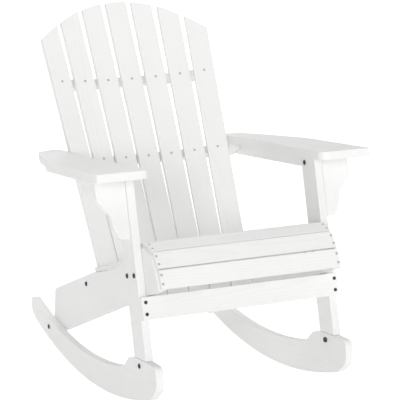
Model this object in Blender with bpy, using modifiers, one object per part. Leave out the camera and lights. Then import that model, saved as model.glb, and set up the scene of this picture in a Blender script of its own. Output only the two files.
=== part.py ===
"""Slatted wooden rocking chair, built board by board.

The chair is drawn in the frame of its front legs: X to the sitter's left, Y to the back and Z up
along the legs. One empty then leans the whole chair back to the attitude in which it comes to
rest on its rockers, with its floor contact at Z = 0 and its origin under the middle of its box.
All lengths are metres.
"""
import math

import bmesh
import bpy
from mathutils import Matrix, Vector

# ---------------------------------------------------------------- driving dimensions
MM = 0.001
GAP = 0.3 * MM                      # clearance between boards that touch
BOARD = 20 * MM                     # thickness of the frame boards
SHEET = BOARD - GAP                 # the same, less the clearance
EASE = 2.2 * MM                     # rounding on every board edge

HALF_SPREAD = 255 * MM              # outer face of the legs and rockers
LEG_X = HALF_SPREAD - BOARD / 2     # middle of the legs and rockers
RAIL_X = LEG_X - BOARD              # middle of the seat side rails
SUPPORT_X = LEG_X + BOARD           # middle of the boards under the arms
LEG_WIDTH = 74 * MM
FOOT_HEIGHT = 190 * MM              # bottom of a leg at its front edge
REST_LEAN = math.radians(9.5)       # how far the legs lean back when the chair stands still

# arms, arm supports and leg tops all rise to the back by the same angle
ARM_RISE = math.radians(8.35)
ARM_HEIGHT = 626 * MM               # underside of the arms at the front of the legs
ARM_FRONT = -76 * MM                # arms ahead of the legs
ARM_REAR = 571 * MM
ARM_INNER = 219 * MM
ARM_OUTER = 351 * MM
SUPPORT_DEPTH = 33 * MM
SUPPORT_REAR = 545 * MM

# rockers
ROCK_RADIUS = 1480 * MM
ROCK_AXIS_Y = 125 * MM
ROCK_LOW_Z = 96 * MM
ROCK_STEP = math.radians(1.6)       # one flat facet of the running edge
FACETS_AHEAD = 7                    # facets ahead of and behind the one it rests on
FACETS_BEHIND = 11
# corners of a rocker as (back, up, rounding radius), and three points on its hollow upper edge
ROCKER_TAIL_RISE = (26 * MM, 14 * MM)
ROCKER_TAIL = ((871 * MM, 309 * MM, 9 * MM), (863 * MM, 350 * MM, 18 * MM))
ROCKER_TOP_EDGE = ((836 * MM, 339 * MM), (500 * MM, 212 * MM), (205 * MM, 175.5 * MM))
ROCKER_EAR = ((160 * MM, 177 * MM, 50 * MM), (118 * MM, 199 * MM, 20 * MM))
ROCKER_NOSE = ((-60 * MM, 178 * MM, 16 * MM), (-54 * MM, 126 * MM, 34 * MM), (2 * MM, 100 * MM, 70 * MM))

# seat side rails and seat slats
RAIL_DROP = math.tan(math.radians(7.9))
RAIL_UNDER_Z = 343.6 * MM           # underside of a side rail at the front of the legs
SEAT_SLATS = 11
SEAT_SLAT_GAP = 3.5 * MM
SEAT_SLAT_THICK = 12 * MM
SEAT_HALF_LENGTH = 230 * MM
# the line of the seat, from under the knees to the back
SEAT_SHAPE = ((-96 * MM, 357 * MM), (-87 * MM, 401 * MM), (-67 * MM, 442 * MM), (-24 * MM, 468.5 * MM),
              (24 * MM, 467 * MM), (115 * MM, 442 * MM), (215 * MM, 423 * MM), (300 * MM, 417 * MM),
              (370 * MM, 416 * MM))
SEAT_SMOOTHING = 10
RAIL_TAIL_TOP = (701 * MM, 364 * MM, 24 * MM)
RAIL_TAIL_END = 757 * MM
RAIL_TAIL_ROUNDING = 10 * MM

# back: a fan of flat slats on concave rails, each slat turned a little more than the last
BACK_LEAN = math.radians(16.3)      # from the legs
BACK_Y = 506 * MM                   # face of the middle slat at the arm rail
BACK_Z = 688 * MM
BACK_SLATS = 7
BACK_SLAT_WIDTH = 57 * MM
BACK_SLAT_THICK = 14 * MM
BACK_TURN = math.radians(4.0)       # from one slat to the next
BACK_PITCH = 64.1 * MM              # slat spacing at the arm rail
BACK_SPREAD = 0.016                 # growth of that spacing per metre of height
BACK_TOP = 442 * MM                 # crown of the back above the arm rail
BACK_TOP_RADIUS = 300 * MM
BACK_TOP_BEND = 175 * MM            # beyond this the crown runs straight, across the outermost slats
BACK_TOP_STEPS = 5
BACK_BOTTOM = -396 * MM
TOP_RAIL_AT = 219 * MM
TOP_RAIL_HALF_LENGTH = 210 * MM
BOTTOM_RAIL_AT = -321 * MM
CROSS_RAIL_HEIGHT = 23 * MM
CROSS_RAIL_DEPTH = 20 * MM          # in the middle, where it is narrowest

# apron and brackets
APRON_BOTTOM = 288 * MM
APRON_TOP = 343 * MM
APRON_THICK = 18 * MM
APRON_SIDE_CLEARANCE = 0.5 * MM
BRACKET_SETBACK = 8 * MM
BRACKET_BOTTOM = 481 * MM
BRACKET_OUTER = 330 * MM

# fasteners
BOLT_RADIUS = 3 * MM
BOLT_HEAD_RADIUS = 6.2 * MM
BOLT_HEAD_HEIGHT = 3 * MM
NUT_RADIUS = 6.5 * MM
NUT_HEIGHT = 5 * MM
SCREW_RADIUS = 2 * MM
SCREW_HEAD_RADIUS = 4.2 * MM
SCREW_HEAD_HEIGHT = 1.8 * MM
SCREW_RIM_HEIGHT = 0.8 * MM
SCREW_INTO_LEG = 20 * MM
HOLE_CLEARANCE = 0.35 * MM
HOLE_BEYOND = 5 * MM                # a bolt's hole goes this much further than the bolt
BACK_BOLT_INTO_RAIL = 28 * MM
TENON_WIDTH = 44 * MM
TENON_LENGTH = 34 * MM
TENON_THICK = 8 * MM
TENON_Y = 42 * MM
TENON_ROOT = 12 * MM                # the tenon's overlap with the leg it is cut from

# where the bolts and screws go: back and up, in the frame of the legs
LEG_BOLTS_Y = (13 * MM, 61 * MM)
LEG_BOLTS_Z = 394 * MM
REAR_BOLT = (728 * MM, 263 * MM)
EAR_BOLT = (45 * MM, 180 * MM)
SUPPORT_BOLT = (54 * MM, 618 * MM)
BACK_BOLT = (432 * MM, 375 * MM)
APRON_SCREWS_Z = (302 * MM, 330 * MM)

WHITE_PAINT = ("white_paint", (0.86, 0.86, 0.85, 1.0), 0.45, 0.0)
BLACK_STEEL = ("black_steel", (0.03, 0.03, 0.032, 1.0), 0.4, 0.8)


# ---------------------------------------------------------------- scene
def empty_scene():
    for item in list(bpy.data.objects):
        bpy.data.objects.remove(item, do_unlink=True)


def new_collection(name):
    collection = bpy.data.collections.new(name)
    bpy.context.scene.collection.children.link(collection)
    return collection


def finish_for(name, finish):
    kind, colour, roughness, metallic = finish
    material = bpy.data.materials.new(name + "_" + kind)
    material.use_nodes = True
    shader = material.node_tree.nodes["Principled BSDF"]
    shader.inputs["Base Color"].default_value = colour
    shader.inputs["Roughness"].default_value = roughness
    shader.inputs["Metallic"].default_value = metallic
    material.diffuse_color = colour
    return material


# ---------------------------------------------------------------- outlines
def arc(centre, radius, start, end, steps):
    """Points on a circle; angles run from straight down towards the back."""
    points = []
    for i in range(steps + 1):
        angle = start + (end - start) * i / steps
        points.append(Vector((centre[0] + radius * math.sin(angle), centre[1] - radius * math.cos(angle))))
    return points


def arc_through(first, middle, last, steps):
    """Points from first to last on the circle that also passes through middle."""
    ax, ay = first
    bx, by = middle
    cx, cy = last
    twist = 2 * (ax * (by - cy) + bx * (cy - ay) + cx * (ay - by))
    a2, b2, c2 = ax * ax + ay * ay, bx * bx + by * by, cx * cx + cy * cy
    centre = Vector(((a2 * (by - cy) + b2 * (cy - ay) + c2 * (ay - by)) / twist,
                     (a2 * (cx - bx) + b2 * (ax - cx) + c2 * (bx - ax)) / twist))
    start = Vector(first) - centre
    sweep = start.angle_signed(Vector(last) - centre)
    points = []
    for i in range(steps + 1):
        spoke = start.copy()
        spoke.rotate(Matrix.Rotation(-sweep * i / steps, 2))
        points.append(centre + spoke)
    return points


def rounded(corners, step=math.radians(15)):
    """A closed outline from (x, y, radius) corners, each rounded by an arc of its radius."""
    points = []
    count = len(corners)
    for i in range(count):
        x, y, radius = corners[i]
        here = Vector((x, y))
        if radius == 0:
            points.append(here)
            continue
        before = (Vector(corners[i - 1][:2]) - here).normalized()
        after = (Vector(corners[(i + 1) % count][:2]) - here).normalized()
        opening = before.angle(after)
        turn = math.pi - opening
        reach = radius / math.tan(opening / 2)
        middle = here + (before + after).normalized() * radius / math.sin(opening / 2)
        first = here + before * reach - middle
        side = 1 if before.cross(after) < 0 else -1
        pieces = max(2, math.ceil(turn / step))
        for k in range(pieces + 1):
            spoke = first.copy()
            spoke.rotate(Matrix.Rotation(side * turn * k / pieces, 2))
            points.append(middle + spoke)
    return points


def smooth(points, steps):
    """A Catmull-Rom curve through the points."""
    line = [2 * points[0] - points[1]] + points + [2 * points[-1] - points[-2]]
    result = [points[0]]
    for i in range(1, len(line) - 2):
        p0, p1, p2, p3 = line[i - 1:i + 3]
        for k in range(1, steps + 1):
            t = k / steps
            result.append(0.5 * (2 * p1 + (p2 - p0) * t + (2 * p0 - 5 * p1 + 4 * p2 - p3) * t ** 2
                                 + (3 * p1 - p0 - 3 * p2 + p3) * t ** 3))
    return result


def equal_steps(line, count):
    """The points that divide a polyline into count pieces of equal length."""
    lengths = [0.0]
    for a, b in zip(line, line[1:]):
        lengths.append(lengths[-1] + (b - a).length)
    result = []
    for i in range(count + 1):
        want = lengths[-1] * i / count
        k = max(j for j in range(len(line) - 1) if lengths[j] <= want)
        part = (want - lengths[k]) / (lengths[k + 1] - lengths[k])
        result.append(line[k].lerp(line[k + 1], part))
    return result


def offset_line(line, distance):
    """A polyline moved to its right-hand side, mitred at its corners."""
    result = []
    for i, point in enumerate(line):
        ahead = (line[min(i + 1, len(line) - 1)] - line[min(i, len(line) - 2)]).normalized()
        behind = (line[max(i, 1)] - line[max(i - 1, 0)]).normalized()
        direction = (ahead + behind).normalized()
        reach = distance / direction.dot(ahead)
        result.append(point + Vector((direction.y, -direction.x)) * reach)
    return result


# ---------------------------------------------------------------- placing
def side_plane(x):
    """Draw in (back, up); the board's thickness lies along X."""
    return Matrix(((0, 0, 1, x), (1, 0, 0, 0), (0, 1, 0, 0), (0, 0, 0, 1)))


def cross_plane(back, up, angle):
    """Draw in (across, along), where along rises from the back direction by angle."""
    return Matrix.Translation((0, back, up)) @ Matrix.Rotation(angle, 4, "X")


def pin_matrix(x, back, up, outward):
    """Local Z along +X or -X."""
    return Matrix.Translation((x, back, up)) @ Matrix.Rotation(outward * math.pi / 2, 4, "Y")


# ---------------------------------------------------------------- pieces
class Chair:
    def __init__(self):
        self.parts = new_collection("rocking_chair")
        self.cutters = new_collection("cutters")
        self.pose = bpy.data.objects.new("rest_pose", None)
        self.parts.objects.link(self.pose)

    def add(self, name, mesh, matrix, finish):
        part = bpy.data.objects.new(name, mesh)
        mesh.materials.clear()
        mesh.materials.append(finish_for(name, finish))
        self.parts.objects.link(part)
        part.parent = self.pose
        part.matrix_basis = matrix
        return part

    def outline_mesh(self, name, outline, thickness):
        """A flat outline, filled and given its thickness, as a closed mesh."""
        curve = bpy.data.curves.new(name, "CURVE")
        curve.dimensions = "2D"
        curve.fill_mode = "BOTH"
        curve.extrude = thickness / 2
        spline = curve.splines.new("POLY")
        spline.points.add(len(outline) - 1)
        for point, (x, y) in zip(spline.points, outline):
            point.co = (x, y, 0, 1)
        spline.use_cyclic_u = True
        source = bpy.data.objects.new(name + "_outline", curve)
        self.cutters.objects.link(source)
        graph = bpy.context.evaluated_depsgraph_get()
        mesh = bpy.data.meshes.new_from_object(source.evaluated_get(graph))
        mesh.name = name
        bpy.data.objects.remove(source, do_unlink=True)
        shape = bmesh.new()
        shape.from_mesh(mesh)
        bmesh.ops.remove_doubles(shape, verts=shape.verts, dist=0.00005)
        bmesh.ops.recalc_face_normals(shape, faces=shape.faces)
        shape.to_mesh(mesh)
        shape.free()
        return mesh

    def board(self, name, outline, thickness, matrix):
        """A painted board with eased edges."""
        part = self.add(name, self.outline_mesh(name, outline, thickness), matrix, WHITE_PAINT)
        soften = part.modifiers.new("eased_edges", "BEVEL")
        soften.width = EASE
        soften.segments = 2
        soften.limit_method = "ANGLE"
        soften.angle_limit = math.radians(50)
        return part

    def cutter(self, mesh, matrix):
        tool = bpy.data.objects.new("cutter_" + mesh.name, mesh)
        tool.hide_render = True
        tool.display_type = "WIRE"
        self.cutters.objects.link(tool)
        tool.parent = self.pose
        tool.matrix_basis = matrix
        return tool

    def box_tool(self, name, size, matrix):
        mesh = bpy.data.meshes.new(name)
        shape = bmesh.new()
        bmesh.ops.create_cube(shape, size=1, matrix=Matrix.Diagonal((*size, 1)))
        shape.to_mesh(mesh)
        shape.free()
        return self.cutter(mesh, matrix)

    def combine(self, part, tool, operation):
        change = part.modifiers.new(operation.lower() + "_" + tool.name, "BOOLEAN")
        change.operation = operation
        change.solver = "EXACT"
        change.object = tool

    def drill(self, boards, radius, length, matrix):
        """A round hole along local -Z, from just above the surface it starts at."""
        above = 6 * MM
        mesh = bpy.data.meshes.new("hole")
        shape = bmesh.new()
        bmesh.ops.create_cone(shape, cap_ends=True, segments=12, radius1=radius, radius2=radius,
                              depth=length + above,
                              matrix=Matrix.Translation((0, 0, (above - length) / 2)))
        shape.to_mesh(mesh)
        shape.free()
        tool = self.cutter(mesh, matrix)
        for board in boards:
            self.combine(board, tool, "DIFFERENCE")

    def turned(self, name, profile, closed, steps, matrix, finish):
        """A body turned about local Z from its half profile, drawn from the top down."""
        mesh = bpy.data.meshes.new(name)
        shape = bmesh.new()
        ring = [shape.verts.new((r, 0, z)) for r, z in profile]
        for a, b in zip(ring, ring[1:]):
            shape.edges.new((a, b))
        if closed:
            shape.edges.new((ring[-1], ring[0]))
        shape.to_mesh(mesh)
        shape.free()
        part = self.add(name, mesh, matrix, finish)
        spin = part.modifiers.new("turned", "SCREW")
        spin.steps = steps
        spin.render_steps = steps
        spin.use_smooth_shade = True
        spin.use_merge_vertices = True
        spin.merge_threshold = 0.00005
        return part

    def bolt(self, name, length, matrix, boards):
        """A domed bolt whose head rests on the surface at local Z = 0."""
        dome = [(BOLT_HEAD_RADIUS * math.cos(a), GAP + BOLT_HEAD_HEIGHT * math.sin(a))
                for a in (math.radians(60), math.radians(30), 0)]
        profile = [(0, GAP + BOLT_HEAD_HEIGHT)] + dome
        profile += [(BOLT_RADIUS, GAP), (BOLT_RADIUS, -length), (0, -length)]
        self.turned(name, profile, False, 12, matrix, BLACK_STEEL)
        self.drill(boards, BOLT_RADIUS + HOLE_CLEARANCE, length + HOLE_BEYOND, matrix)

    def nut(self, name, matrix):
        """A hexagonal nut on the surface at local Z = 0."""
        bore = (BOLT_RADIUS + HOLE_CLEARANCE) / math.cos(math.pi / 6)
        low = GAP
        high = GAP + NUT_HEIGHT
        profile = [(bore, high), (NUT_RADIUS, high), (NUT_RADIUS, low), (bore, low)]
        hexagon = self.turned(name, profile, True, 6, matrix, BLACK_STEEL)
        hexagon.modifiers["turned"].use_smooth_shade = False

    def screw(self, name, length, matrix, boards):
        """A flat-headed wood screw whose head rests on the surface at local Z = 0."""
        top = GAP + SCREW_HEAD_HEIGHT
        profile = [(0, top), (SCREW_HEAD_RADIUS * 0.7, top), (SCREW_HEAD_RADIUS, GAP + SCREW_RIM_HEIGHT),
                   (SCREW_HEAD_RADIUS, GAP), (SCREW_RADIUS, GAP), (SCREW_RADIUS, -length), (0, -length)]
        self.turned(name, profile, False, 10, matrix, BLACK_STEEL)
        self.drill(boards, SCREW_RADIUS + HOLE_CLEARANCE, length + HOLE_BEYOND, matrix)


# ---------------------------------------------------------------- shared curves
def arm_underside(back):
    return ARM_HEIGHT + math.tan(ARM_RISE) * back


def foot_line(back):
    return FOOT_HEIGHT + math.tan(ARM_RISE) * back


def rail_underside(back):
    return RAIL_UNDER_Z - RAIL_DROP * back


def seat_line():
    """Top of the seat from under the knees to the back, divided at the slats."""
    return equal_steps(smooth([Vector(point) for point in SEAT_SHAPE], SEAT_SMOOTHING), SEAT_SLATS)


def back_pitch(height):
    return BACK_PITCH + BACK_SPREAD * height


def crown(across):
    """Height of the back's top edge: an arc that runs out straight on each side."""
    reach = min(abs(across), BACK_TOP_BEND)
    rise = math.sqrt(BACK_TOP_RADIUS ** 2 - reach ** 2)
    return BACK_TOP - BACK_TOP_RADIUS + rise - (abs(across) - reach) * reach / rise


def fan_corner(position):
    """Where the back's flats meet, across and backward, for a slat spacing of one."""
    across = 0.5
    backward = 0.0
    for k in range(1, round(abs(position) + 0.5)):
        across += math.cos(k * BACK_TURN)
        backward -= math.sin(k * BACK_TURN)
    return Vector((math.copysign(across, position), backward))


def fan_middle(k):
    """The middle of slat k's flat, across and backward, for a slat spacing of one."""
    return (fan_corner(k - 0.5) + fan_corner(k + 0.5)) / 2 if k else Vector((0, 0))


# ---------------------------------------------------------------- frame
def make_rocker(chair, name, x):
    centre = (ROCK_AXIS_Y, ROCK_LOW_Z + ROCK_RADIUS)
    front = REST_LEAN - (FACETS_AHEAD + 0.5) * ROCK_STEP
    rear = REST_LEAN + (FACETS_BEHIND + 0.5) * ROCK_STEP
    running_edge = arc(centre, ROCK_RADIUS, front, rear, FACETS_AHEAD + FACETS_BEHIND + 1)
    running_edge.append(running_edge[-1] + Vector(ROCKER_TAIL_RISE))
    upper_edge = arc_through(*ROCKER_TOP_EDGE, 12)
    corners = [(*point, 0) for point in running_edge]
    corners += ROCKER_TAIL
    corners += [(*point, 0) for point in upper_edge]
    corners += ROCKER_EAR
    corners += [(back, foot_line(back) - GAP, 0) for back in (LEG_WIDTH, 0)]
    corners += ROCKER_NOSE
    return chair.board(name, rounded(corners), SHEET, side_plane(x))


def make_leg(chair, name, x, rocker):
    outline = rounded([(0, foot_line(0), 0), (LEG_WIDTH, foot_line(LEG_WIDTH), 0),
                       (LEG_WIDTH, arm_underside(LEG_WIDTH) - GAP, 0), (0, arm_underside(0) - GAP, 0)])
    leg = chair.board(name, outline, SHEET, side_plane(x))
    size = Vector((TENON_THICK, TENON_WIDTH, TENON_LENGTH + TENON_ROOT))
    centre = Matrix.Translation((x, TENON_Y, FOOT_HEIGHT + (TENON_ROOT - TENON_LENGTH) / 2))
    tenon = chair.box_tool(name + "_tenon", size, centre)
    chair.combine(leg, tenon, "UNION")
    slack = Vector((2 * GAP, 2 * GAP, 2 * GAP))
    mortise = chair.box_tool(name + "_mortise", size + slack, centre)
    chair.combine(rocker, mortise, "DIFFERENCE")
    return leg


def make_side_rail(chair, name, x):
    seat = offset_line(seat_line(), SEAT_SLAT_THICK + GAP)
    seat[0].y = rail_underside(seat[0].x)
    corners = [(p.x, p.y, 0) for p in seat]
    corners += [RAIL_TAIL_TOP, (RAIL_TAIL_END, rail_underside(RAIL_TAIL_END), RAIL_TAIL_ROUNDING)]
    return chair.board(name, rounded(corners), SHEET, side_plane(x))


def make_apron(chair):
    half = HALF_SPREAD - APRON_SIDE_CLEARANCE
    top = APRON_TOP - GAP
    outline = [(-half, APRON_BOTTOM), (half, APRON_BOTTOM), (half, top), (-half, top)]
    placed = Matrix.Translation((0, -APRON_THICK / 2 - GAP, 0)) @ Matrix.Rotation(math.pi / 2, 4, "X")
    return chair.board("front_apron", outline, APRON_THICK, placed)


# ---------------------------------------------------------------- seat
def make_seat_slats(chair):
    top = seat_line()
    under = offset_line(top, SEAT_SLAT_THICK)
    for i in range(SEAT_SLATS):
        top_trim = (top[i + 1] - top[i]).normalized() * SEAT_SLAT_GAP / 2
        outline = [under[i] + top_trim, under[i + 1] - top_trim, top[i + 1] - top_trim, top[i] + top_trim]
        chair.board(f"seat_slat_{i + 1:02d}", outline, 2 * SEAT_HALF_LENGTH, side_plane(0))


# ---------------------------------------------------------------- back
def back_matrix(k):
    """Slat k's own plane: X across it, Y up it and Z out of its face, at the arm rail."""
    middle = fan_middle(k)
    turn = k * BACK_TURN
    along = Vector((BACK_SPREAD * middle.x, BACK_SPREAD * middle.y, 1)).normalized()
    across = Vector((math.cos(turn), -math.sin(turn), 0))
    across = (across - along * across.dot(along)).normalized()
    face = across.cross(along)
    place = Vector((middle.x * BACK_PITCH, middle.y * BACK_PITCH, 0))
    fan = Matrix((across, along, face)).transposed().to_4x4()
    fan.translation = place
    return back_frame() @ fan


def back_frame():
    """Maps (across, backward, up the back) into the chair."""
    return Matrix.Translation((0, BACK_Y, BACK_Z)) @ Matrix.Rotation(-BACK_LEAN, 4, "X")


def make_back_slats(chair):
    half = BACK_SLAT_WIDTH / 2
    for k in range(-(BACK_SLATS // 2), BACK_SLATS // 2 + 1):
        middle = fan_middle(k)
        top = []
        for i in range(BACK_TOP_STEPS + 1):
            across = half - BACK_SLAT_WIDTH * i / BACK_TOP_STEPS
            height = BACK_TOP
            for _ in range(3):          # the slats spread with height, so the height is found in steps
                height = crown(middle.x * back_pitch(height) + across)
            top.append((across, height))
        outline = [(-half, BACK_BOTTOM), (half, BACK_BOTTOM)] + top
        placed = back_matrix(k) @ Matrix.Translation((0, 0, -BACK_SLAT_THICK / 2))
        chair.board(f"back_slat_{k + BACK_SLATS // 2 + 1}", outline, BACK_SLAT_THICK, placed)


def fan_front(height, half_length):
    """The concave front of a cross rail, one flat for each slat, just behind the slats."""
    behind = (BACK_SLAT_THICK + GAP) / math.cos(BACK_TURN / 2)
    points = []
    for i in range(BACK_SLATS + 1):
        position = i - BACK_SLATS / 2
        corner = fan_corner(position) * back_pitch(height)
        turn = position * BACK_TURN
        points.append(corner + Vector((math.sin(turn), math.cos(turn))) * behind)
    end = points[-1]
    slope = math.tan(BACK_TURN * (BACK_SLATS // 2))
    points[-1] = Vector((half_length, end.y - (half_length - end.x) * slope))
    points[0] = Vector((-half_length, points[-1].y))
    return points


def make_cross_rail(chair, name, height, half_length):
    """A rail square to the back slats."""
    rear = BACK_SLAT_THICK + CROSS_RAIL_DEPTH
    outline = fan_front(height, half_length) + [Vector((half_length, rear)), Vector((-half_length, rear))]
    placed = back_frame() @ Matrix.Translation((0, 0, height))
    return chair.board(name, outline, CROSS_RAIL_HEIGHT, placed)


# ---------------------------------------------------------------- arms
def arm_plane():
    """Middle of the arm boards' thickness."""
    return cross_plane(0, ARM_HEIGHT + BOARD / 2 / math.cos(ARM_RISE), ARM_RISE)


def make_arm_rail(chair):
    """The cross rail between the arm supports; its ends are planed to the underside of the arms."""
    rail = make_cross_rail(chair, "arm_cross_rail", 0, SUPPORT_X - SHEET / 2 - GAP)
    size = Vector((2 * HALF_SPREAD, ARM_REAR, 2 * BOARD))
    above = Matrix.Translation((0, BACK_Y, (size.z - BOARD) / 2 - GAP))
    chair.combine(rail, chair.box_tool("above_arms", size, arm_plane() @ above), "DIFFERENCE")


def make_arm(chair, name, side):
    """Broad and round-cornered in front, waisted by the sitter's side, narrow behind."""
    corners = [(ARM_INNER, ARM_FRONT, 26 * MM), (ARM_INNER + 3 * MM, 110 * MM, 600 * MM),
               (ARM_INNER + 18 * MM, 300 * MM, 500 * MM), (ARM_INNER + 7 * MM, 440 * MM, 400 * MM),
               (ARM_INNER + 7 * MM, ARM_REAR, 12 * MM), (ARM_OUTER - 67 * MM, ARM_REAR, 48 * MM),
               (ARM_OUTER - 38 * MM, 464 * MM, 400 * MM), (ARM_OUTER, 275 * MM, 300 * MM),
               (ARM_OUTER, ARM_FRONT, 8 * MM)]
    outline = [Vector((side * point.x, point.y)) for point in rounded(corners)]
    return chair.board(name, outline, SHEET, arm_plane())


def make_arm_support(chair, name, side):
    front = BRACKET_SETBACK + BOARD + GAP
    outline = [(front, arm_underside(front) - SUPPORT_DEPTH),
               (SUPPORT_REAR, arm_underside(SUPPORT_REAR) - SUPPORT_DEPTH),
               (SUPPORT_REAR, arm_underside(SUPPORT_REAR) - GAP), (front, arm_underside(front) - GAP)]
    return chair.board(name, outline, SHEET, side_plane(side * SUPPORT_X))


def make_bracket(chair, name, side):
    """A scrolled gusset between the leg's outer face and the arm."""
    inner = HALF_SPREAD + GAP / 2
    top = arm_underside(BRACKET_SETBACK) - GAP
    corners = [(inner, BRACKET_BOTTOM, 0), (inner + 26 * MM, BRACKET_BOTTOM, 16 * MM),
               (inner + 41 * MM, BRACKET_BOTTOM + 34 * MM, 40 * MM),
               (inner + 44 * MM, BRACKET_BOTTOM + 60 * MM, 30 * MM),
               (BRACKET_OUTER, BRACKET_BOTTOM + 97 * MM, 26 * MM), (BRACKET_OUTER, top, 0), (inner, top, 0)]
    outline = [Vector((side * p.x, p.y)) for p in rounded(corners)]
    return chair.board(name, outline, SHEET, cross_plane(BRACKET_SETBACK + BOARD / 2, 0, math.pi / 2))


# ---------------------------------------------------------------- whole chair
def make_side(chair, name, side, apron, bottom_rail):
    """Everything on one side of the chair, with the bolts and screws that hold it."""
    rocker = make_rocker(chair, "rocker_" + name, side * LEG_X)
    leg = make_leg(chair, "front_leg_" + name, side * LEG_X, rocker)
    rail = make_side_rail(chair, "seat_side_rail_" + name, side * RAIL_X)
    support = make_arm_support(chair, "arm_support_" + name, side)
    make_arm(chair, "arm_" + name, side)
    make_bracket(chair, "arm_bracket_" + name, side)

    leg_outside = side * (LEG_X + SHEET / 2)
    leg_inside = side * (LEG_X - SHEET / 2)
    rail_outside = side * (RAIL_X + SHEET / 2)
    rail_inside = side * (RAIL_X - SHEET / 2)
    support_outside = side * (SUPPORT_X + SHEET / 2)
    two_boards = 2 * BOARD + NUT_HEIGHT
    for i, back in enumerate(LEG_BOLTS_Y):
        label = f"leg_{i + 1}_{name}"
        chair.bolt("bolt_" + label, two_boards, pin_matrix(leg_outside, back, LEG_BOLTS_Z, side), [leg, rail])
        chair.nut("nut_" + label, pin_matrix(rail_inside, back, LEG_BOLTS_Z, -side))
    chair.bolt("bolt_rocker_rear_" + name, two_boards, pin_matrix(leg_outside, *REAR_BOLT, side),
               [rocker, rail])
    chair.nut("nut_rocker_rear_" + name, pin_matrix(rail_inside, *REAR_BOLT, -side))
    chair.bolt("bolt_rocker_front_" + name, BOARD + NUT_HEIGHT, pin_matrix(leg_outside, *EAR_BOLT, side),
               [rocker, leg])
    chair.nut("nut_rocker_front_" + name, pin_matrix(leg_inside, *EAR_BOLT, -side))
    chair.bolt("bolt_arm_support_" + name, two_boards, pin_matrix(leg_inside, *SUPPORT_BOLT, -side),
               [leg, support])
    chair.nut("nut_arm_support_" + name, pin_matrix(support_outside, *SUPPORT_BOLT, side))
    chair.bolt("bolt_back_" + name, BOARD + BACK_BOLT_INTO_RAIL, pin_matrix(rail_outside, *BACK_BOLT, side),
               [rail, bottom_rail])
    for i, up in enumerate(APRON_SCREWS_Z):
        face = Matrix.Translation((side * LEG_X, -(APRON_THICK + GAP), up))
        chair.screw(f"apron_screw_{i + 1}_{name}", APRON_THICK + SCREW_INTO_LEG,
                    face @ Matrix.Rotation(math.pi / 2, 4, "X"), [apron, leg])


def stand_on_floor(chair):
    """Lean the chair to its resting attitude and put its origin under the middle of its box."""
    chair.pose.rotation_euler = (-REST_LEAN, 0, 0)
    bpy.context.view_layer.update()
    graph = bpy.context.evaluated_depsgraph_get()
    corners = []
    for part in chair.parts.objects:
        if part.type == "MESH":
            shown = part.evaluated_get(graph)
            corners += [shown.matrix_world @ vertex.co for vertex in shown.data.vertices]
    back = [corner.y for corner in corners]
    chair.pose.location = (0, -(min(back) + max(back)) / 2, -min(corner.z for corner in corners))
    bpy.context.view_layer.update()


def main():
    empty_scene()
    chair = Chair()
    apron = make_apron(chair)
    make_seat_slats(chair)
    make_back_slats(chair)
    make_cross_rail(chair, "top_cross_rail", TOP_RAIL_AT, TOP_RAIL_HALF_LENGTH)
    make_arm_rail(chair)
    bottom_rail = make_cross_rail(chair, "bottom_cross_rail", BOTTOM_RAIL_AT, RAIL_X - SHEET / 2 - GAP)
    make_side(chair, "left", 1, apron, bottom_rail)
    make_side(chair, "right", -1, apron, bottom_rail)
    stand_on_floor(chair)


main()
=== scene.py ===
"""Looks for the slatted rocking chair: painted boards, black bolts, zinc screws and a plain white studio.

Every board is the CAD frame's own mesh. Bolts, nuts and screws are finer pieces that stand for the
CAD ones or sit where the frame's boards say. All lengths are metres.
"""
import math
import random

import bmesh
import bpy
import numpy as np
from mathutils import Matrix, Vector


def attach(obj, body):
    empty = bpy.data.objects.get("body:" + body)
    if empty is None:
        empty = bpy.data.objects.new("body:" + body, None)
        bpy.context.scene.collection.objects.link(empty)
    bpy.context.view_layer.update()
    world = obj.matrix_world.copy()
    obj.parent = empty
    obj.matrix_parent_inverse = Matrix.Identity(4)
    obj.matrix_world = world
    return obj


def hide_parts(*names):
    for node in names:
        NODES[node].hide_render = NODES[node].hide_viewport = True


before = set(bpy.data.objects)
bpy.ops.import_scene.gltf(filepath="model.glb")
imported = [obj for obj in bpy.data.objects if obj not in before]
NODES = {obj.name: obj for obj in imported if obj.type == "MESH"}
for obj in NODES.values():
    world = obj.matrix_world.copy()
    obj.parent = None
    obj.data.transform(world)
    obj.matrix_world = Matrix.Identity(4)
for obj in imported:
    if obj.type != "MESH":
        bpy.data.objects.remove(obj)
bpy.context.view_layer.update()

MM = 0.001

# ---------------------------------------------------------------- driving values
# camera
CAMERA_PLACE = (-1.7659, -4.4746, 1.1612)
CAMERA_AZIMUTH = math.radians(-22.288)
CAMERA_ELEVATION = math.radians(8.527)
CAMERA_ROLL = math.radians(-2.732)
CAMERA_LENS = 171.15
CAMERA_SENSOR = 36.0

# studio: each light as (azimuth, elevation, angular size, strength), in degrees; at a strength of 1 it lights
# a perfectly white surface that faces it up to full white
BACKDROP = 1.0                      # what the camera sees behind the chair
AMBIENT = 0.30                      # light that reaches the chair from all round
LIGHTS = {
    "front": (0, 8, 60, 0.19),
    "key": (-32, 8, 24, 0.385),
    "right": (90, 20, 60, 0.28),
    "behind": (180, 30, 60, 0.27),
    "overhead": (0, 85, 60, 0.215),
}
FLOOR_SIZE = 60.0
FLOOR_SHADES = (0.88, 0.90)
FLOOR_GLOW = 0.255
FLOOR_WHITENING = 0.38              # added only to what the camera sees of the floor

# meshes
WELD = 0.01 * MM
SMOOTH_ANGLE = math.radians(38)
SAME_WAY = 0.9995                   # faces count as one when their normals agree this well
FLAT_WEIGHT = 80                    # how strongly broad faces set the normals at their edges

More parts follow.
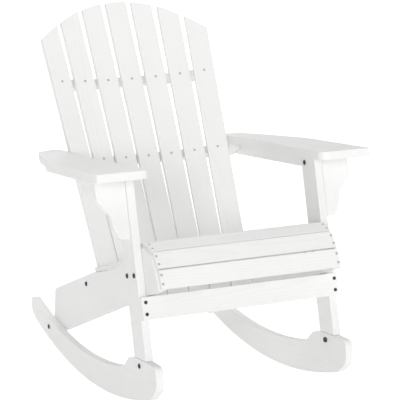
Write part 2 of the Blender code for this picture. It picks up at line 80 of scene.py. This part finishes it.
# fasteners
ROUND = 48                          # points round a bolt head or a nut
SCREW_ROUND = 32
SOCKET_FLATS = 4.0 * MM
SLAT_SCREW_RADIUS = 3.3 * MM
SEAT_SCREW_RADIUS = 3.1 * MM
SEAT_SCREW_SPREAD = 10.7 * MM       # each screw's distance from the middle of its seat slat
SCREW_PROUD = 0.25 * MM
ARM_SCREW_RADIUS = 3.6 * MM
BOLT_SHANK = 2.95 * MM
THREAD_PITCH = 1.0 * MM
THREAD_DEPTH = 0.45 * MM
THREAD_LENGTH = 20 * MM
WASHER = 1.1 * MM
NUT_BORE = 3.35 * MM
NUT_CHAMFER = math.radians(28)
# flat-headed screws as (head depth, shank radius, length)
SLAT_SCREW = (2.2 * MM, 1.7 * MM, 26 * MM)
SEAT_SCREW = (2.0 * MM, 1.6 * MM, 24 * MM)
ARM_SCREW = (2.4 * MM, 1.9 * MM, 45 * MM)
RAIL_SCREW = (2.4 * MM, 1.9 * MM, 50 * MM)
ARM_SCREW_PLACES = (0.1, 0.5, 0.9)  # along the boards under the arms

# the tree that the boards are cut from
GRAIN_TILT = 1.6                    # most that a board's line strays from the trunk's, in degrees
PITH_NEAREST = 45                   # a board's distance from the middle of its trunk, in millimetres
PITH_FURTHEST = 130
FIRST_BOARD_SEED = 7100

PAINT = (0.865, 0.862, 0.858)
PAINT_THIN = (0.826, 0.822, 0.812)
BLACK = (0.034, 0.034, 0.036)
BLACK_WORN = (0.16, 0.16, 0.165)
ZINC = (0.50, 0.505, 0.52)


# ---------------------------------------------------------------- reading the frame
def points_of(name):
    """The different corners of a CAD node, as an array."""
    mesh = NODES[name].data
    flat = np.zeros(len(mesh.vertices) * 3, np.float32)
    mesh.vertices.foreach_get("co", flat)
    return np.unique(np.round(flat.reshape(-1, 3).astype(float), 6), axis=0)


def broad_faces(name):
    """The outward normals of a CAD node's faces, with the area that looks that way and a point on it."""
    found = []
    for face in NODES[name].data.polygons:
        for entry in found:
            if entry["normal"].dot(face.normal) > SAME_WAY:
                entry["area"] += face.area
                break
        else:
            found.append({"normal": face.normal.copy(), "area": face.area, "point": face.center.copy()})
    return sorted(found, key=lambda entry: -entry["area"])


def main_axes(points):
    """Middle and three axes of a set of points, the longest axis first."""
    _, _, axes = np.linalg.svd(points - points.mean(0), full_matrices=False)
    if np.linalg.det(axes) < 0:
        axes[2] = -axes[2]
    extent = points @ axes.T
    middle = ((extent.min(0) + extent.max(0)) / 2) @ axes
    return Vector(middle), [Vector(axis) for axis in axes]


def long_direction(points, normal):
    """The way a straight board runs, in the plane across normal: its width is least across this way."""
    _, axes = main_axes(points)
    along = axes[0] - normal * axes[0].dot(normal)
    along.normalize()
    across = normal.cross(along)
    flat = np.array([[p @ np.array(along), p @ np.array(across)] for p in points])
    angles = np.radians(np.linspace(-8, 8, 3201))
    widths = [np.ptp(flat @ np.array((-math.sin(a), math.cos(a)))) for a in angles]
    turn = float(angles[int(np.argmin(widths))])
    return (along * math.cos(turn) + across * math.sin(turn)).normalized()


def middle_along(points, direction):
    reach = points @ np.array(direction)
    return float(reach.min() + reach.max()) / 2


def meeting_point(*planes):
    """The point common to three planes, each given as its normal and its offset."""
    return Matrix([normal for normal, _ in planes]).inverted() @ Vector([offset for _, offset in planes])


def frame_at(place, outward):
    """A matrix whose Z is outward."""
    z = Vector(outward).normalized()
    guide = Vector((0, 0, 1)) if abs(z.z) < 0.9 else Vector((1, 0, 0))
    x = (guide - z * guide.dot(z)).normalized()
    y = z.cross(x)
    return Matrix.Translation(place) @ Matrix((x, y, z)).transposed().to_4x4()


# ---------------------------------------------------------------- node building
class Nodes:
    """Short calls for putting a node tree together."""

    def __init__(self, tree):
        self.tree = tree
        tree.nodes.clear()

    def add(self, kind, settings=(), **inputs):
        node = self.tree.nodes.new(kind)
        for key, value in dict(settings).items():
            setattr(node, key, value)
        for key, value in inputs.items():
            name = key.replace("_", " ")
            socket = next((s for s in node.inputs if s.name == name and s.enabled), None)
            if socket is None:
                raise KeyError(f"{kind} has no input {name}")
            self.put(socket, value)
        return node

    def put(self, socket, value):
        if isinstance(value, bpy.types.NodeSocket):
            self.tree.links.new(value, socket)
        else:
            socket.default_value = value

    def math(self, operation, a, b=0.0, clamp=False):
        node = self.tree.nodes.new("ShaderNodeMath")
        node.operation = operation
        node.use_clamp = clamp
        self.put(node.inputs[0], a)
        self.put(node.inputs[1], b)
        return node.outputs[0]

    def stretch(self, vector, scale):
        node = self.tree.nodes.new("ShaderNodeVectorMath")
        node.operation = "MULTIPLY"
        self.put(node.inputs[0], vector)
        self.put(node.inputs[1], scale)
        return node.outputs[0]

    def noise(self, vector, scale, detail=2.0, roughness=0.5, distortion=0.0):
        return self.add("ShaderNodeTexNoise", Vector=vector, Scale=scale, Detail=detail,
                        Roughness=roughness, Distortion=distortion).outputs["Fac"]

    def ramp(self, value, low, high):
        """Value carried smoothly from 0 at low to 1 at high."""
        node = self.tree.nodes.new("ShaderNodeMapRange")
        node.interpolation_type = "SMOOTHSTEP"
        self.put(node.inputs["Value"], value)
        node.inputs["From Min"].default_value = low
        node.inputs["From Max"].default_value = high
        return node.outputs["Result"]

    def blend(self, factor, a, b):
        node = self.tree.nodes.new("ShaderNodeMix")
        node.data_type = "RGBA"
        self.put(node.inputs["Factor"], factor)
        self.put(node.inputs[6], a)
        self.put(node.inputs[7], b)
        return node.outputs[2]

    def total(self, *terms):
        """The sum of (value, weight) terms."""
        result = None
        for value, weight in terms:
            part = self.math("MULTIPLY", value, weight)
            result = part if result is None else self.math("ADD", result, part)
        return result


def colour(rgb, gain=1.0):
    return (*(min(1.0, c * gain) for c in rgb), 1.0)


def group_tree(name, inputs, outputs):
    tree = bpy.data.node_groups.new(name, "ShaderNodeTree")
    for label, kind in inputs:
        tree.interface.new_socket(label, in_out="INPUT", socket_type=kind)
    for label, kind in outputs:
        tree.interface.new_socket(label, in_out="OUTPUT", socket_type=kind)
    return tree


def painted_wood_group():
    """White paint brushed over sawn softwood. Its vector runs along, across and through the board."""
    tree = group_tree("painted_wood", [("Vector", "NodeSocketVector")],
                      [("Color", "NodeSocketColor"), ("Roughness", "NodeSocketFloat"),
                       ("Height", "NodeSocketFloat")])
    n = Nodes(tree)
    board = n.add("NodeGroupInput").outputs["Vector"]

    # growth rings round the trunk's line, long and slightly wavy
    slow = n.stretch(board, (0.07, 1.0, 1.0))
    drift = n.add("ShaderNodeTexNoise", Vector=n.stretch(board, (2.2, 9.0, 9.0)), Scale=1.0, Detail=2.0)
    shift = n.add("ShaderNodeVectorMath", {"operation": "MULTIPLY_ADD"})
    n.put(shift.inputs[0], drift.outputs["Color"])
    n.put(shift.inputs[1], (0.0, 0.016, 0.016))
    n.put(shift.inputs[2], slow)
    rings = n.add("ShaderNodeTexWave", {"wave_type": "RINGS", "rings_direction": "X", "wave_profile": "SAW"},
                  Vector=shift.outputs[0], Scale=78.0, Distortion=1.6, Detail=2.0, Detail_Scale=0.9,
                  Detail_Roughness=0.6).outputs["Fac"]
    late = n.math("MULTIPLY", n.ramp(rings, 0.45, 0.93), n.ramp(rings, 1.0, 0.965))

    fibre = n.noise(n.stretch(board, (16.0, 1150.0, 1150.0)), 1.0, 3.0, 0.62)
    strokes = n.noise(n.stretch(board, (5.0, 330.0, 330.0)), 1.0, 3.0, 0.55, 0.3)
    peel = n.noise(board, 620.0, 1.5, 0.5)
    patch = n.noise(board, 7.0, 3.0, 0.55)
    wide = n.noise(n.stretch(board, (1.3, 14.0, 14.0)), 1.0, 2.0)

    # paint: thinner over the hard late wood, a little uneven from one brush load to the next
    shade = n.total((late, 0.20), (fibre, 0.34), (strokes, 0.30), (patch, 0.28), (wide, 0.24))
    tint = n.blend(n.ramp(shade, 0.28, 1.05), colour(PAINT, 1.022), colour(PAINT_THIN))
    rough = n.math("ADD", n.total((patch, 0.16), (strokes, 0.14), (late, -0.05), (peel, 0.06)), 0.27)
    height = n.total((late, 0.036), (fibre, 0.045), (strokes, 0.055), (peel, 0.012), (wide, 0.5))
    end = n.add("NodeGroupOutput")
    n.put(end.inputs["Color"], tint)
    n.put(end.inputs["Roughness"], rough)
    n.put(end.inputs["Height"], height)
    return tree


def new_material(name):
    material = bpy.data.materials.new(name)
    material.use_nodes = True
    return material, Nodes(material.node_tree)


def finish_shader(n, base, rough, height, bump, **fixed):
    """Principled shader from node values, with a bump whose height is in millimetres."""
    surface = n.add("ShaderNodeBsdfPrincipled")
    n.put(surface.inputs["Base Color"], base)
    n.put(surface.inputs["Roughness"], rough)
    relief = n.add("ShaderNodeBump", Strength=bump, Distance=MM, Height=height)
    n.put(surface.inputs["Normal"], relief.outputs["Normal"])
    for key, value in fixed.items():
        surface.inputs[key.replace("_", " ")].default_value = value
    output = n.add("ShaderNodeOutputMaterial")
    n.put(output.inputs["Surface"], surface.outputs[0])
    return surface


def board_material(name, group, chance):
    """Painted wood whose grain runs along this board, cut from its own place in the tree."""
    middle, axes = main_axes(points_of(name))
    turn = Matrix(axes)
    tilt = (Matrix.Rotation(math.radians(chance.uniform(-GRAIN_TILT, GRAIN_TILT)), 3, "Y")
            @ Matrix.Rotation(math.radians(chance.uniform(-GRAIN_TILT, GRAIN_TILT)), 3, "Z"))
    turn = tilt @ turn
    distance = chance.uniform(PITH_NEAREST, PITH_FURTHEST) * MM
    side = chance.uniform(0.15, math.pi - 0.15)
    from_pith = Vector((chance.uniform(-3, 3), distance * math.cos(side), distance * math.sin(side)))
    material, n = new_material("paint_" + name)
    place = n.add("ShaderNodeTexCoord").outputs["Object"]
    mapped = n.add("ShaderNodeMapping", Vector=place, Rotation=turn.to_euler("XYZ"),
                   Location=from_pith - turn @ middle)
    wood = n.add("ShaderNodeGroup", {"node_tree": group}, Vector=mapped.outputs[0])
    finish_shader(n, wood.outputs["Color"], wood.outputs["Roughness"], wood.outputs["Height"], 0.85,
                  IOR=1.48)
    return material


def black_material():
    """Black-coated steel, a little worn and greyer where the piece says it has an edge."""
    material, n = new_material("black_coated_steel")
    place = n.add("ShaderNodeTexCoord").outputs["Object"]
    edge = n.add("ShaderNodeAttribute", {"attribute_name": "edge"}).outputs["Fac"]
    grain = n.noise(place, 2600.0, 2.0, 0.6)
    cloud = n.noise(place, 240.0, 3.0, 0.6)
    worn = n.math("MULTIPLY", edge, n.ramp(cloud, 0.42, 0.66))
    base = n.blend(n.math("MULTIPLY", worn, 0.55), n.blend(cloud, colour(BLACK, 0.8), colour(BLACK, 1.5)),
                   colour(BLACK_WORN))
    rough = n.math("ADD", n.total((cloud, 0.14), (grain, 0.16), (worn, -0.1)), 0.27)
    finish_shader(n, base, rough, n.total((grain, 0.02), (cloud, 0.03)), 0.7, Metallic=0.35, IOR=1.5)
    return material


def zinc_material():
    """Bright zinc plating with fine turning marks round each screw head."""
    material, n = new_material("zinc_plated_steel")
    place = n.add("ShaderNodeTexCoord").outputs["Object"]
    head = n.add("ShaderNodeUVMap", {"uv_map": "head"}).outputs["UV"]
    radius = n.add("ShaderNodeVectorMath", {"operation": "LENGTH"})
    n.put(radius.inputs[0], head)
    marks = n.add("ShaderNodeTexNoise", {"noise_dimensions": "1D"}, W=radius.outputs["Value"], Scale=5200.0,
                  Detail=2.0).outputs["Fac"]
    cloud = n.noise(place, 420.0, 3.0, 0.6)
    grain = n.noise(place, 3000.0, 2.0, 0.5)
    base = n.blend(n.ramp(n.total((cloud, 0.7), (marks, 0.4)), 0.3, 0.85), colour(ZINC, 1.1),
                   colour(ZINC, 0.72))
    rough = n.math("ADD", n.total((cloud, 0.16), (marks, 0.14), (grain, 0.08)), 0.16)
    finish_shader(n, base, rough, n.total((marks, 0.03), (grain, 0.012)), 0.8, Metallic=0.95)
    return material


# ---------------------------------------------------------------- boards
def joined_surface_group():
    """Joins the frame's split corners and shades curved edges smoothly; the shape stays as it is."""
    tree = bpy.data.node_groups.new("joined_surface", "GeometryNodeTree")
    tree.interface.new_socket("Geometry", in_out="INPUT", socket_type="NodeSocketGeometry")
    tree.interface.new_socket("Geometry", in_out="OUTPUT", socket_type="NodeSocketGeometry")
    n = Nodes(tree)
    start = n.add("NodeGroupInput")
    merged = n.add("GeometryNodeMergeByDistance", Geometry=start.outputs[0], Distance=WELD)
    bend = n.add("GeometryNodeInputMeshEdgeAngle").outputs["Unsigned Angle"]
    sharp = n.math("GREATER_THAN", bend, SMOOTH_ANGLE)
    normals = n.add("GeometryNodeSetMeshNormal", {"mode": "SHARPNESS"})
    n.put(normals.inputs["Mesh"], merged.outputs[0])
    for label, value in (("Remove Custom", True), ("Edge Sharpness", sharp), ("Face Sharpness", False)):
        n.put(normals.inputs[label], value)
    end = n.add("NodeGroupOutput")
    n.put(end.inputs[0], normals.outputs[0])
    return tree


def dress_boards():
    group = painted_wood_group()
    joined = joined_surface_group()
    for i, name in enumerate(sorted(NODES)):
        if name.startswith(("bolt_", "nut_", "apron_screw_")):
            continue
        board = NODES[name]
        material = board_material(name, group, random.Random(FIRST_BOARD_SEED + i))
        for slot in board.material_slots:
            slot.link = "OBJECT"
            slot.material = material
        surface = board.modifiers.new("joined_surface", "NODES")
        surface.node_group = joined
        even = board.modifiers.new("even_normals", "WEIGHTED_NORMAL")
        even.keep_sharp = True
        even.weight = FLAT_WEIGHT


# ---------------------------------------------------------------- rings of points
class Turned:
    """Builds one mesh from rings of points round local Z, with an edge value and a head UV."""

    def __init__(self):
        self.shape = bmesh.new()
        self.edge = self.shape.verts.layers.float.new("edge")
        self.head = self.shape.loops.layers.uv.new("head")
        self.local = {}

    def ring(self, matrix, radius_at, height_at, count, edge=0.0):
        verts = []
        for i in range(count):
            angle = 2 * math.pi * i / count
            r = radius_at(angle) if callable(radius_at) else radius_at
            z = height_at(angle) if callable(height_at) else height_at
            place = Vector((r * math.cos(angle), r * math.sin(angle), z))
            vert = self.shape.verts.new(matrix @ place)
            vert[self.edge] = edge
            self.local[vert] = place
            verts.append(vert)
        return verts

    def skin(self, a, b):
        count = len(a)
        for i in range(count):
            j = (i + 1) % count
            self.shape.faces.new((a[i], a[j], b[j], b[i]))

    def cap(self, ring, matrix, height, edge=0.0):
        middle = self.shape.verts.new(matrix @ Vector((0, 0, height)))
        middle[self.edge] = edge
        self.local[middle] = Vector((0, 0, height))
        count = len(ring)
        for i in range(count):
            self.shape.faces.new((ring[i], ring[(i + 1) % count], middle))

    def chain(self, matrix, rings, count, top=None, bottom=None):
        """Rings from the top down, each (radius, height, edge); top and bottom are the caps' heights."""
        made = [self.ring(matrix, r, z, count, e) for r, z, e in rings]
        for a, b in zip(made, made[1:]):
            self.skin(a, b)
        if top is not None:
            self.cap(made[0], matrix, top)
        if bottom is not None:
            self.cap(made[-1], matrix, bottom)
        return made

    def finish(self, name, material, stands_for=()):
        bmesh.ops.recalc_face_normals(self.shape, faces=self.shape.faces)
        for face in self.shape.faces:
            face.smooth = True
            for loop in face.loops:
                loop[self.head].uv = self.local[loop.vert].xy
        mesh = bpy.data.meshes.new(name)
        self.shape.to_mesh(mesh)
        self.shape.free()
        mesh.set_sharp_from_angle(angle=SMOOTH_ANGLE)
        mesh.materials.append(material)
        piece = bpy.data.objects.new(name, mesh)
        bpy.context.scene.collection.objects.link(piece)
        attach(piece, "root")
        if stands_for:
            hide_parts(*stands_for)
        return piece


def polygon_radius(flats, sides, start=0.0):
    """Radius of a regular polygon, given its size across the flats, at an angle."""
    sector = 2 * math.pi / sides

    def radius(angle):
        away = (angle - start) % sector - sector / 2
        return flats / 2 / math.cos(away)
    return radius


def cross_radius(arm, width, corner):
    """Radius of a cross recess with four arms at an angle."""
    def radius(angle):
        away = (angle + math.pi / 4) % (math.pi / 2) - math.pi / 4
        side = width / 2 / max(abs(math.sin(away)), 1e-6)
        return max(min(arm, side), corner)
    return radius


# ---------------------------------------------------------------- fasteners
def pin_of(name):
    """Where a CAD fastener is: a matrix with its axis as Z, outward, from the underside of its head."""
    points = points_of(name)
    middle, axes = main_axes(points)
    axis = axes[0]
    reach = (points - np.array(middle)) @ np.array(axis)
    away = np.linalg.norm(points - np.array(middle) - np.outer(reach, np.array(axis)), axis=1)
    wide = reach[away > away.max() * 0.95]
    if wide.mean() < 0:
        axis, reach, wide = -axis, -reach, -wide
    seat = float(wide.min())
    return (frame_at(middle + axis * seat, axis), float(away.max()), float(reach.max()) - seat,
            seat - float(reach.min()))


def dress_bolt(name, material):
    """A button-head bolt with a washer face, a hexagon socket and a rolled thread at its end."""
    matrix, radius, high, length = pin_of(name)
    shank = BOLT_SHANK
    socket = polygon_radius(SOCKET_FLATS, 6)
    mouth = SOCKET_FLATS / 2 / math.cos(math.pi / 6)
    deep = high - 1.9 * MM
    made = Turned()
    rings = [(lambda a: socket(a) * 0.97, deep, 0.1), (socket, deep + 0.15 * MM, 0.2),
             (socket, high - 0.3 * MM, 0.6), (mouth + 0.12 * MM, high - 0.02 * MM, 1.0),
             (mouth + 0.5 * MM, high, 0.7)]
    spread = radius - mouth - 0.5 * MM
    for i in range(1, 7):
        angle = math.radians(15 * i)
        rings.append((mouth + 0.5 * MM + spread * math.sin(angle) ** 1.15,
                      0.75 * MM + (high - 0.75 * MM) * math.cos(angle) ** 0.9 if i < 6 else 0.75 * MM,
                      0.2 + 0.6 * (i == 6)))
    rings += [(radius, 0.35 * MM, 0.9), (radius - 0.3 * MM, 0.02 * MM, 0.4), (shank + 0.5 * MM, 0.0, 0.0),
              (shank, -0.5 * MM, 0.0)]
    thread_from = length - min(length * 0.45, THREAD_LENGTH)
    rings.append((shank, -thread_from, 0.0))
    turns = int((length - thread_from - 1 * MM) / THREAD_PITCH)
    for i in range(turns):
        low = thread_from + THREAD_PITCH * i
        rings += [(shank - THREAD_DEPTH, -(low + 0.5 * MM), 0.0), (shank, -(low + 0.95 * MM), 0.35)]
    rings += [(shank - 0.7 * MM, -length, 0.3)]
    made.chain(matrix, rings, ROUND, top=deep - 0.35 * MM, bottom=-length)
    made.finish("fine_" + name, material, [name])


def dress_nut(name, material):
    """A chamfered hexagon nut on a plain washer."""
    points = points_of(name)
    box = points.min(0), points.max(0)
    middle = Vector((box[0] + box[1]) / 2)
    thick = float(box[1][0] - box[0][0])
    inward = -1 if middle.x > 0 else 1
    if "arm_support" in name:
        inward = -inward
    matrix = frame_at(middle - Vector((inward * thick / 2, 0, 0)), (inward, 0, 0))
    corner = float(np.linalg.norm((points - np.array(middle))[:, 1:], axis=1).max())
    flats = 2 * corner * math.cos(math.pi / 6)
    outer = polygon_radius(flats, 6)
    washer = WASHER
    bore = NUT_BORE
    flat_circle = flats / 2 * 0.96
    made = Turned()
    low, high = washer + 0.05 * MM, thick

    def drop(angle):
        return max(0.0, outer(angle) - flat_circle) * math.tan(NUT_CHAMFER)

    rings = [(bore, low + 0.4 * MM, 0), (bore, high - 0.4 * MM, 0), (bore + 0.45 * MM, high, 0.5),
             (flat_circle - 0.1 * MM, high, 0.5), (flat_circle, high - 0.02 * MM, 0.8),
             (outer, lambda a: high - drop(a), 1.0), (outer, lambda a: high - drop(a) - 0.15 * MM, 0.7),
             (outer, lambda a: low + drop(a) + 0.1 * MM, 0.5), (flat_circle, low, 0.3),
             (bore + 0.45 * MM, low, 0)]
    nut = made.chain(matrix, rings, ROUND)
    made.skin(nut[-1], nut[0])
    plate = [(bore + 0.1 * MM, 0.1 * MM, 0), (bore + 0.1 * MM, washer, 0), (corner - 0.25 * MM, washer, 0.4),
             (corner, washer - 0.2 * MM, 0.9), (corner, 0.25 * MM, 0.6), (corner - 0.2 * MM, 0.0, 0.3)]
    washer_rings = made.chain(matrix, plate, ROUND)
    made.skin(washer_rings[-1], washer_rings[0])
    made.finish("fine_" + name, material, [name])


def screw_rings(made, matrix, radius, size):
    """One flat-headed screw with a cross recess; its head stands proud of the surface at local Z = 0."""
    sunk, shank, length = size
    proud = SCREW_PROUD
    arm = radius * 0.46 * 1.18
    width = radius * 0.26
    deep = -radius * 0.42
    cross = cross_radius(arm, width, width * 0.62)
    rings = [(lambda a: cross(a) * 0.45, deep, 0.0), (lambda a: cross(a) * 0.92, proud - 0.35 * MM, 0.2),
             (cross, proud - 0.04 * MM, 0.9), (lambda a: cross(a) + 0.12 * MM, proud, 0.6),
             (radius * 0.8, proud, 0.1), (radius * 0.95, proud - 0.05 * MM, 0.3),
             (radius, proud - 0.2 * MM, 1.0), (radius, proud - 0.35 * MM, 0.6),
             (shank + 0.2 * MM, -sunk, 0.0), (shank, -sunk - 0.3 * MM, 0.0),
             (shank, -length + shank * 1.5, 0.0)]
    made.chain(matrix, rings, SCREW_ROUND, top=deep - 0.1 * MM, bottom=-length)


def dress_apron_screw(name, material):
    """A pan-headed wood screw with a cross recess."""
    matrix, radius, high, length = pin_of(name)
    made = Turned()
    arm = radius * 0.5
    cross = cross_radius(arm, radius * 0.24, radius * 0.15)
    deep = high - 1.25 * MM
    rings = [(lambda a: cross(a) * 0.5, deep, 0.0), (lambda a: cross(a) * 0.95, high - 0.3 * MM, 0.3),
             (cross, high - 0.05 * MM, 1.0), (lambda a: cross(a) + 0.15 * MM, high, 0.5),
             (radius * 0.74, high - 0.12 * MM, 0.1), (radius * 0.9, high - 0.5 * MM, 0.1),
             (radius, high - 1.05 * MM, 0.6), (radius, 0.2 * MM, 0.8), (radius - 0.2 * MM, 0.0, 0.2),
             (1.95 * MM, 0.0, 0.0), (1.9 * MM, -length + 4 * MM, 0.0), (0.4 * MM, -length, 0.0)]
    made.chain(matrix, rings, SCREW_ROUND, top=deep - 0.15 * MM, bottom=-length)
    made.finish("fine_" + name, material, [name])


def slat_face(name, towards):
    """The broad face of a slat that looks towards the given direction, and the slat's long direction."""
    points = points_of(name)
    face = max(broad_faces(name)[:2], key=lambda entry: entry["normal"].dot(towards))
    normal = face["normal"].normalized()
    return points, normal, normal.dot(face["point"]), long_direction(points, normal)


def back_slat_screws(material):
    """Three rows of seven screws, one where each back slat crosses each cross rail."""
    points, _, _, up = slat_face("back_slat_4", Vector((0, -1, 0)))
    if up.z < 0:
        up = -up
    for row, rail in (("top", "top_cross_rail"), ("arm", "arm_cross_rail"), ("bottom", "bottom_cross_rail")):
        made = Turned()
        height = middle_along(points_of(rail), up)
        for i in range(1, 8):
            points, normal, offset, along = slat_face(f"back_slat_{i}", Vector((0, -1, 0)))
            across = normal.cross(along)
            place = meeting_point((normal, offset), (up, height), (across, middle_along(points, across)))
            spin = random.Random(40 + i + 10 * len(row)).uniform(0, math.pi)
            matrix = frame_at(place, normal) @ Matrix.Rotation(spin, 4, "Z")
            screw_rings(made, matrix, SLAT_SCREW_RADIUS, SLAT_SCREW)
        made.finish(f"back_slat_screws_{row}", material)


def seat_slat_screws(material):
    """Two screws at each end of each seat slat, into the side rails."""
    for side, label in ((1, "left"), (-1, "right")):
        made = Turned()
        rail = points_of(f"seat_side_rail_{label}")
        x = middle_along(rail, Vector((1, 0, 0)))
        below = Vector((x, *rail.mean(0)[1:]))
        for i in range(1, 12):
            name = f"seat_slat_{i:02d}"
            slat = points_of(name)
            middle = Vector(slat.mean(0))
            points, normal, offset, _ = slat_face(name, middle - Vector((middle.x, below.y, below.z)))
            along = Vector((1, 0, 0))
            across = normal.cross(along)
            centre = middle_along(points, across)
            for end in (-1, 1):
                spread = centre + end * SEAT_SCREW_SPREAD
                place = meeting_point((normal, offset), (along, x), (across, spread))
                spin = random.Random(200 + i * 4 + end + side).uniform(0, math.pi)
                matrix = frame_at(place, normal) @ Matrix.Rotation(spin, 4, "Z")
                screw_rings(made, matrix, SEAT_SCREW_RADIUS, SEAT_SCREW)
        made.finish(f"seat_slat_screws_{label}", material)


def arm_screws(material):
    """Screws up through each board under an arm, and one through it into the arm rail."""
    rail = points_of("arm_cross_rail")
    for side, label in ((1, "left"), (-1, "right")):
        made = Turned()
        board = points_of(f"arm_support_{label}")
        low = min(broad_faces(f"arm_support_{label}"), key=lambda entry: entry["normal"].z
                  if entry["area"] > 0.002 else 1)
        normal = low["normal"].normalized()
        x = middle_along(board, Vector((1, 0, 0)))
        along = normal.cross(Vector((1, 0, 0))).normalized()
        reach = board @ np.array(along)
        for part in ARM_SCREW_PLACES:
            place = meeting_point((normal, normal.dot(low["point"])), (Vector((1, 0, 0)), x),
                                  (along, float(reach.min() + part * np.ptp(reach))))
            screw_rings(made, frame_at(place, normal), ARM_SCREW_RADIUS, ARM_SCREW)
        end = rail[side * rail[:, 0] > abs(rail[:, 0]).max() - 3 * MM].mean(0)
        outer = float((side * board[:, 0]).max())
        place = Vector((side * outer, end[1], end[2]))
        screw_rings(made, frame_at(place, (side, 0, 0)), ARM_SCREW_RADIUS, RAIL_SCREW)
        made.finish(f"arm_screws_{label}", material)


def dress_fasteners():
    black = black_material()
    zinc = zinc_material()
    for name in sorted(NODES):
        if name.startswith("bolt_"):
            dress_bolt(name, black)
        elif name.startswith("nut_"):
            dress_nut(name, black)
        elif name.startswith("apron_screw_"):
            dress_apron_screw(name, black)
    back_slat_screws(zinc)
    seat_slat_screws(zinc)
    arm_screws(zinc)


# ---------------------------------------------------------------- studio
def make_floor():
    """A plain pale floor that stays white under the lights and takes the chair's soft shadow."""
    mesh = bpy.data.meshes.new("floor")
    half = FLOOR_SIZE / 2
    shape = bmesh.new()
    bmesh.ops.create_grid(shape, x_segments=8, y_segments=8, size=half)
    shape.to_mesh(mesh)
    shape.free()
    floor = bpy.data.objects.new("floor", mesh)
    bpy.context.scene.collection.objects.link(floor)
    material, n = new_material("pale_floor")
    place = n.add("ShaderNodeTexCoord").outputs["Object"]
    cloud = n.noise(place, 3.0, 3.0)
    base = n.blend(cloud, *(colour((shade,) * 3) for shade in FLOOR_SHADES))
    surface = n.add("ShaderNodeBsdfPrincipled")
    n.put(surface.inputs["Base Color"], base)
    surface.inputs["Roughness"].default_value = 0.9
    surface.inputs["Specular IOR Level"].default_value = 0.1
    surface.inputs["Emission Color"].default_value = (1, 1, 1, 1)
    seen = n.add("ShaderNodeLightPath").outputs["Is Camera Ray"]
    glow = n.math("ADD", n.math("MULTIPLY", seen, FLOOR_WHITENING), FLOOR_GLOW)
    n.put(surface.inputs["Emission Strength"], glow)
    output = n.add("ShaderNodeOutputMaterial")
    n.put(output.inputs["Surface"], surface.outputs[0])
    mesh.materials.append(material)


def direction(azimuth, elevation):
    """From the chair towards a place at this azimuth and elevation."""
    return Vector((math.sin(azimuth) * math.cos(elevation), -math.cos(azimuth) * math.cos(elevation),
                   math.sin(elevation)))


def make_light(name, azimuth, elevation, size, strength):
    """A broad soft light a long way off."""
    lamp = bpy.data.lights.new(name, "SUN")
    lamp.angle = math.radians(size)
    lamp.energy = math.pi * strength
    light = bpy.data.objects.new(name, lamp)
    towards = direction(math.radians(azimuth), math.radians(elevation))
    light.rotation_euler = (-towards).to_track_quat("-Z", "Y").to_euler()
    bpy.context.scene.collection.objects.link(light)


def make_world():
    world = bpy.data.worlds.new("white_studio")
    world.use_nodes = True
    n = Nodes(world.node_tree)
    seen = n.add("ShaderNodeLightPath").outputs["Is Camera Ray"]
    strength = n.math("ADD", n.math("MULTIPLY", seen, BACKDROP - AMBIENT), AMBIENT)
    background = n.add("ShaderNodeBackground", Color=(1, 1, 1, 1), Strength=strength)
    output = n.add("ShaderNodeOutputWorld")
    n.put(output.inputs["Surface"], background.outputs[0])
    bpy.context.scene.world = world


def make_camera():
    """The camera's own axes: X right, Y up, Z back towards it, rolled about its line of sight."""
    camera = bpy.data.cameras.new("camera")
    camera.lens = CAMERA_LENS
    camera.sensor_width = CAMERA_SENSOR
    camera.clip_end = 200.0
    back = direction(CAMERA_AZIMUTH, CAMERA_ELEVATION)
    level = Vector((math.cos(CAMERA_AZIMUTH), math.sin(CAMERA_AZIMUTH), 0))
    up = back.cross(level)
    right = level * math.cos(CAMERA_ROLL) + up * math.sin(CAMERA_ROLL)
    above = up * math.cos(CAMERA_ROLL) - level * math.sin(CAMERA_ROLL)
    place = Matrix((right, above, back)).transposed().to_4x4()
    place.translation = CAMERA_PLACE
    eye = bpy.data.objects.new("camera", camera)
    eye.matrix_world = place
    bpy.context.scene.collection.objects.link(eye)
    bpy.context.scene.camera = eye


def main():
    make_camera()
    make_world()
    make_floor()
    for name, values in LIGHTS.items():
        make_light(name, *values)
    bpy.context.scene.view_settings.view_transform = "Standard"
    dress_boards()
    dress_fasteners()


main()
